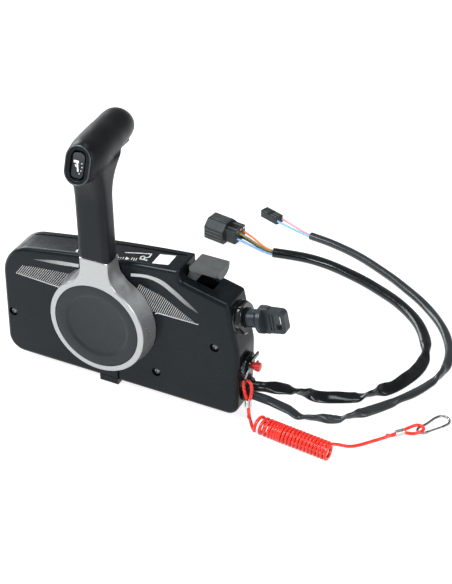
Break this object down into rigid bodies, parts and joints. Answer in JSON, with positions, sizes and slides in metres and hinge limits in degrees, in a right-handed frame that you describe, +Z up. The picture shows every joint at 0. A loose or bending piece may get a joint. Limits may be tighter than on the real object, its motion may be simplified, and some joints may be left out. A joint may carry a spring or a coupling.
{
  "type": "boat throttle control lever",
  "caption": "Side-mounted boat throttle and gear lever with a T grip, trim rocker, key switch, stop switch with coiled lanyard, and two wiring leads.",
  "frame": {"origin": "on the surface that the box stands on, at the foot's underside, under the lever's axis and midway through the box's depth", "axes": "+X aft along the box towards the key, +Y towards the boat's side panel that it is bolted to, +Z up"},
  "size_m": [0.43, 0.3863, 0.2793],
  "materials": {
    "housing_plastic": "moulded, fine grain",
    "screw_steel": "black plated",
    "bearing_plastic": "moulded acetal",
    "machined_steel": "machined",
    "spring_steel": "spring steel",
    "arm_casting": "die cast",
    "switch_black": "moulded",
    "lever_silver": "satin silver paint",
    "core_aluminium": "extruded",
    "cap_black": "satin moulded",
    "grip_rubber": "soft moulded rubber",
    "bezel_black": "satin",
    "rocker_black": "moulded",
    "tab_plastic": "moulded, fine grain",
    "nut_black": "moulded",
    "rotor_brass": "turned",
    "key_rubber": "soft moulded",
    "stop_red": "moulded",
    "clip_black": "moulded",
    "boot_rubber": "moulded",
    "sleeve_gloss": "vinyl tube",
    "sleeve_satin": "vinyl tube",
    "wire_a_colours": "vinyl",
    "wire_b_colours": "vinyl",
    "plug_plastic": "moulded",
    "lanyard_red": "polyurethane cord",
    "crimp_metal": "pressed",
    "hook_steel": "plated wire"
  },
  "bodies": {
    "housing": {"front_housing": "housing_plastic", "back_plate": "housing_plastic", "housing_screws": "screw_steel", "front_bush": "bearing_plastic", "rear_bush": "bearing_plastic", "detent_roller": "machined_steel", "detent_spring": "spring_steel", "neutral_switch": "switch_black", "shift_pivot_pin": "machined_steel", "throttle_pivot_pin": "machined_steel", "warm_up_pin": "machined_steel", "key_switch_body": "switch_black", "key_switch_washer": "nut_black", "key_switch_nut": "nut_black", "stop_switch_body": "switch_black", "stop_switch_nut": "nut_black", "harness_grommet": "boot_rubber", "sleeve_a": "sleeve_gloss", "sleeve_b": "sleeve_satin", "wires_a": "wire_a_colours", "wires_b": "wire_b_colours", "plug_a": "plug_plastic", "plug_b": "plug_plastic"},
    "lever": {"lever_base": "lever_silver", "hub_cap": "cap_black", "hub_bolt": "machined_steel", "arm_core": "core_aluminium", "arm_screws": "machined_steel", "grip": "grip_rubber", "trim_bezel": "bezel_black", "trim_switch_body": "switch_black", "main_shaft": "machined_steel", "retaining_ring": "spring_steel", "drive_gear": "machined_steel", "detent_wheel": "machined_steel"},
    "trim_rocker": {"trim_rocker": "rocker_black"},
    "lock_bar": {"neutral_lock_bar": "grip_rubber"},
    "shift_arm": {"shift_arm": "arm_casting"},
    "throttle_arm": {"throttle_arm": "arm_casting"},
    "warm_up_lever": {"warm_up_lever": "tab_plastic"},
    "key": {"key": "key_rubber", "key_rotor": "rotor_brass"},
    "stop_button": {"stop_button": "stop_red"},
    "stop_clip": {"stop_clip": "clip_black", "lanyard_loop": "lanyard_red", "near_crimp": "crimp_metal", "lanyard_drop": "lanyard_red", "lanyard_coil": "lanyard_red", "lanyard_tail": "lanyard_red", "far_crimp": "crimp_metal", "hook_loop": "lanyard_red", "snap_hook": "hook_steel"},
    "hook_gate": {"snap_hook_gate": "hook_steel"}
  },
  "joints": [
    {"name": "lever_swing", "type": "hinge", "parent": "housing", "child": "lever", "pos_m": [0, 0, 0.08], "axis": [0, 1, 0], "range_deg": [-90, 65]},
    {"name": "shift_arm_turn", "type": "hinge", "parent": "housing", "child": "shift_arm", "pos_m": [0.072, 0, 0.08], "axis": [0, 1, 0], "range_deg": [-33, 45.5]},
    {"name": "throttle_arm_turn", "type": "hinge", "parent": "housing", "child": "throttle_arm", "pos_m": [-0.064, 0, 0.08], "axis": [0, 1, 0], "range_deg": [-39.5, 54.5]},
    {"name": "trim_rock", "type": "hinge", "parent": "lever", "child": "trim_rocker", "pos_m": [-0.003, -0.04552, 0.25701], "axis": [1, 0, 0], "range_deg": [-7, 7], "stiffness_Nm_per_rad": 0.05},
    {"name": "neutral_lock", "type": "slide", "parent": "lever", "child": "lock_bar", "axis": [0, 0, 1], "range_m": [0, 0.004], "stiffness_N_per_m": 300, "springref_m": -0.002},
    {"name": "warm_up_lift", "type": "hinge", "parent": "housing", "child": "warm_up_lever", "pos_m": [0.082, 0, 0.1365], "axis": [0, 1, 0], "range_deg": [-26, 0]},
    {"name": "key_turn", "type": "hinge", "parent": "housing", "child": "key", "pos_m": [0.13069, 0, 0.1076], "axis": [0.9794, 0, 0.2019], "range_deg": [0, 90]},
    {"name": "stop_press", "type": "slide", "parent": "housing", "child": "stop_button", "axis": [-1, 0, 0], "range_m": [0, 0.003], "stiffness_N_per_m": 300, "springref_m": -0.003},
    {"name": "stop_clip_pull", "type": "slide", "parent": "housing", "child": "stop_clip", "axis": [0, -1, 0], "range_m": [0, 0.025]},
    {"name": "hook_gate_swing", "type": "hinge", "parent": "stop_clip", "child": "hook_gate", "pos_m": [0.30256, 0.04788, 0.0013], "axis": [0, 0, 1], "range_deg": [0, 18], "stiffness_Nm_per_rad": 0.02}
  ],
  "couplings": [
    {"joint": "shift_arm_turn", "follows": "lever_swing", "ratio": -0.5},
    {"joint": "throttle_arm_turn", "follows": "lever_swing", "ratio": -0.6}
  ]
}
